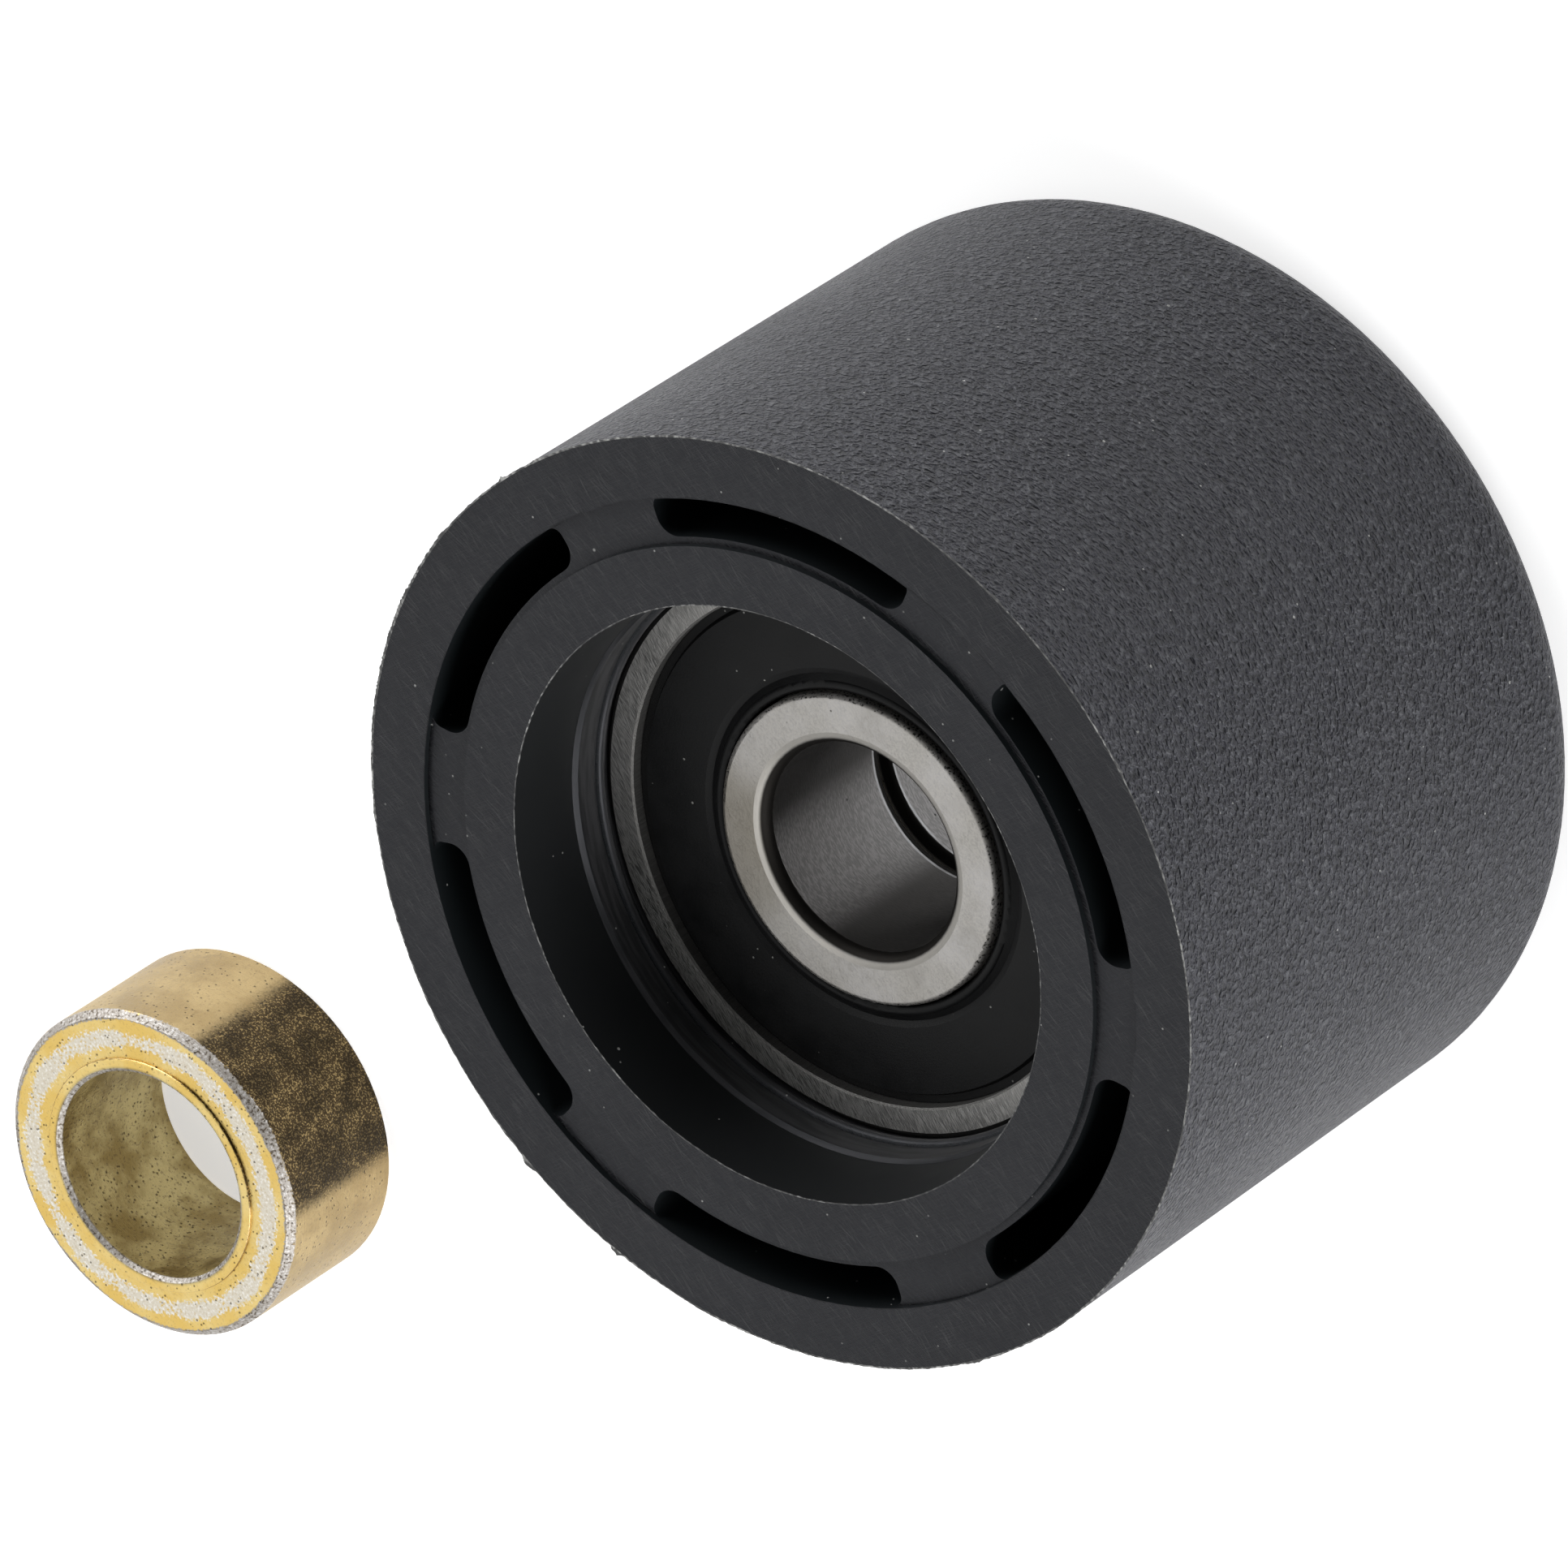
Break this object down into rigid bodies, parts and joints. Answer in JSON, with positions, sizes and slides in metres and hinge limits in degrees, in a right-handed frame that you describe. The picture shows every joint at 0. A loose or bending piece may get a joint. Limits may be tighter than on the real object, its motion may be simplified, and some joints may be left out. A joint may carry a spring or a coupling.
{
  "type": "motorcycle chain roller",
  "caption": "Black moulded chain roller turning on two sealed ball bearings with a straight bolt bore, and a short plated spacer collar standing beside it.",
  "frame": {"origin": "on the bolt axis, at the joint plane where the two bearings touch", "axes": "+Z along the bolt axis, out of the roller's open end; the collar stands on the +Y side"},
  "size_m": [0.035, 0.0784, 0.0247],
  "materials": {
    "moulded_black": "fine leathery mould texture on the tread, scratched trimmed face at the open end",
    "inner_ring_steel": "fine turned face, ground bore",
    "outer_ring_steel": "ground, with fine oblique marks",
    "seal_rubber": "satin moulded rubber",
    "cage_steel": "pressed sheet",
    "ball_steel": "polished",
    "collar_plated_steel": "yellow passivated plating, worn to pale grey at the edges"
  },
  "bodies": {
    "fixed_side": {"inner_ring_front": "inner_ring_steel", "inner_ring_rear": "inner_ring_steel", "collar": "collar_plated_steel"},
    "roller": {"roller_body": "moulded_black", "outer_ring_front": "outer_ring_steel", "seal_front_upper": "seal_rubber", "seal_front_lower": "seal_rubber", "outer_ring_rear": "outer_ring_steel", "seal_rear_upper": "seal_rubber", "seal_rear_lower": "seal_rubber"},
    "cage_front": {"cage_front_upper": "cage_steel", "cage_front_lower": "cage_steel", "cage_rivets_front": "cage_steel"},
    "ball_front_1": {"ball_front_1": "ball_steel"},
    "ball_front_2": {"ball_front_2": "ball_steel"},
    "ball_front_3": {"ball_front_3": "ball_steel"},
    "ball_front_4": {"ball_front_4": "ball_steel"},
    "ball_front_5": {"ball_front_5": "ball_steel"},
    "ball_front_6": {"ball_front_6": "ball_steel"},
    "ball_front_7": {"ball_front_7": "ball_steel"},
    "cage_rear": {"cage_rear_upper": "cage_steel", "cage_rear_lower": "cage_steel", "cage_rivets_rear": "cage_steel"},
    "ball_rear_1": {"ball_rear_1": "ball_steel"},
    "ball_rear_2": {"ball_rear_2": "ball_steel"},
    "ball_rear_3": {"ball_rear_3": "ball_steel"},
    "ball_rear_4": {"ball_rear_4": "ball_steel"},
    "ball_rear_5": {"ball_rear_5": "ball_steel"},
    "ball_rear_6": {"ball_rear_6": "ball_steel"},
    "ball_rear_7": {"ball_rear_7": "ball_steel"}
  },
  "joints": [
    {"name": "roller_spin", "type": "hinge", "parent": "fixed_side", "child": "roller", "pos_m": [0, 0, 0], "axis": [0, 0, 1], "continuous": true},
    {"name": "cage_front_orbit", "type": "hinge", "parent": "fixed_side", "child": "cage_front", "pos_m": [0, 0, 0.0035], "axis": [0, 0, 1], "continuous": true},
    {"name": "ball_front_1_roll", "type": "hinge", "parent": "cage_front", "child": "ball_front_1", "pos_m": [0.0075, 0, 0.0035], "axis": [0, 0, 1], "continuous": true},
    {"name": "ball_front_2_roll", "type": "hinge", "parent": "cage_front", "child": "ball_front_2", "pos_m": [0.00468, 0.00586, 0.0035], "axis": [0, 0, 1], "continuous": true},
    {"name": "ball_front_3_roll", "type": "hinge", "parent": "cage_front", "child": "ball_front_3", "pos_m": [-0.00167, 0.00731, 0.0035], "axis": [0, 0, 1], "continuous": true},
    {"name": "ball_front_4_roll", "type": "hinge", "parent": "cage_front", "child": "ball_front_4", "pos_m": [-0.00676, 0.00325, 0.0035], "axis": [0, 0, 1], "continuous": true},
    {"name": "ball_front_5_roll", "type": "hinge", "parent": "cage_front", "child": "ball_front_5", "pos_m": [-0.00676, -0.00325, 0.0035], "axis": [0, 0, 1], "continuous": true},
    {"name": "ball_front_6_roll", "type": "hinge", "parent": "cage_front", "child": "ball_front_6", "pos_m": [-0.00167, -0.00731, 0.0035], "axis": [0, 0, 1], "continuous": true},
    {"name": "ball_front_7_roll", "type": "hinge", "parent": "cage_front", "child": "ball_front_7", "pos_m": [0.00468, -0.00586, 0.0035], "axis": [0, 0, 1], "continuous": true},
    {"name": "cage_rear_orbit", "type": "hinge", "parent": "fixed_side", "child": "cage_rear", "pos_m": [0, 0, -0.0035], "axis": [0, 0, 1], "continuous": true},
    {"name": "ball_rear_1_roll", "type": "hinge", "parent": "cage_rear", "child": "ball_rear_1", "pos_m": [0.0075, 0, -0.0035], "axis": [0, 0, 1], "continuous": true},
    {"name": "ball_rear_2_roll", "type": "hinge", "parent": "cage_rear", "child": "ball_rear_2", "pos_m": [0.00468, 0.00586, -0.0035], "axis": [0, 0, 1], "continuous": true},
    {"name": "ball_rear_3_roll", "type": "hinge", "parent": "cage_rear", "child": "ball_rear_3", "pos_m": [-0.00167, 0.00731, -0.0035], "axis": [0, 0, 1], "continuous": true},
    {"name": "ball_rear_4_roll", "type": "hinge", "parent": "cage_rear", "child": "ball_rear_4", "pos_m": [-0.00676, 0.00325, -0.0035], "axis": [0, 0, 1], "continuous": true},
    {"name": "ball_rear_5_roll", "type": "hinge", "parent": "cage_rear", "child": "ball_rear_5", "pos_m": [-0.00676, -0.00325, -0.0035], "axis": [0, 0, 1], "continuous": true},
    {"name": "ball_rear_6_roll", "type": "hinge", "parent": "cage_rear", "child": "ball_rear_6", "pos_m": [-0.00167, -0.00731, -0.0035], "axis": [0, 0, 1], "continuous": true},
    {"name": "ball_rear_7_roll", "type": "hinge", "parent": "cage_rear", "child": "ball_rear_7", "pos_m": [0.00468, -0.00586, -0.0035], "axis": [0, 0, 1], "continuous": true}
  ],
  "couplings": [
    {"joint": "cage_front_orbit", "follows": "roller_spin", "ratio": 0.6323},
    {"joint": "ball_front_1_roll", "follows": "roller_spin", "ratio": 1.7573},
    {"joint": "ball_front_2_roll", "follows": "roller_spin", "ratio": 1.7573},
    {"joint": "ball_front_3_roll", "follows": "roller_spin", "ratio": 1.7573},
    {"joint": "ball_front_4_roll", "follows": "roller_spin", "ratio": 1.7573},
    {"joint": "ball_front_5_roll", "follows": "roller_spin", "ratio": 1.7573},
    {"joint": "ball_front_6_roll", "follows": "roller_spin", "ratio": 1.7573},
    {"joint": "ball_front_7_roll", "follows": "roller_spin", "ratio": 1.7573},
    {"joint": "cage_rear_orbit", "follows": "roller_spin", "ratio": 0.6323},
    {"joint": "ball_rear_1_roll", "follows": "roller_spin", "ratio": 1.7573},
    {"joint": "ball_rear_2_roll", "follows": "roller_spin", "ratio": 1.7573},
    {"joint": "ball_rear_3_roll", "follows": "roller_spin", "ratio": 1.7573},
    {"joint": "ball_rear_4_roll", "follows": "roller_spin", "ratio": 1.7573},
    {"joint": "ball_rear_5_roll", "follows": "roller_spin", "ratio": 1.7573},
    {"joint": "ball_rear_6_roll", "follows": "roller_spin", "ratio": 1.7573},
    {"joint": "ball_rear_7_roll", "follows": "roller_spin", "ratio": 1.7573}
  ]
}
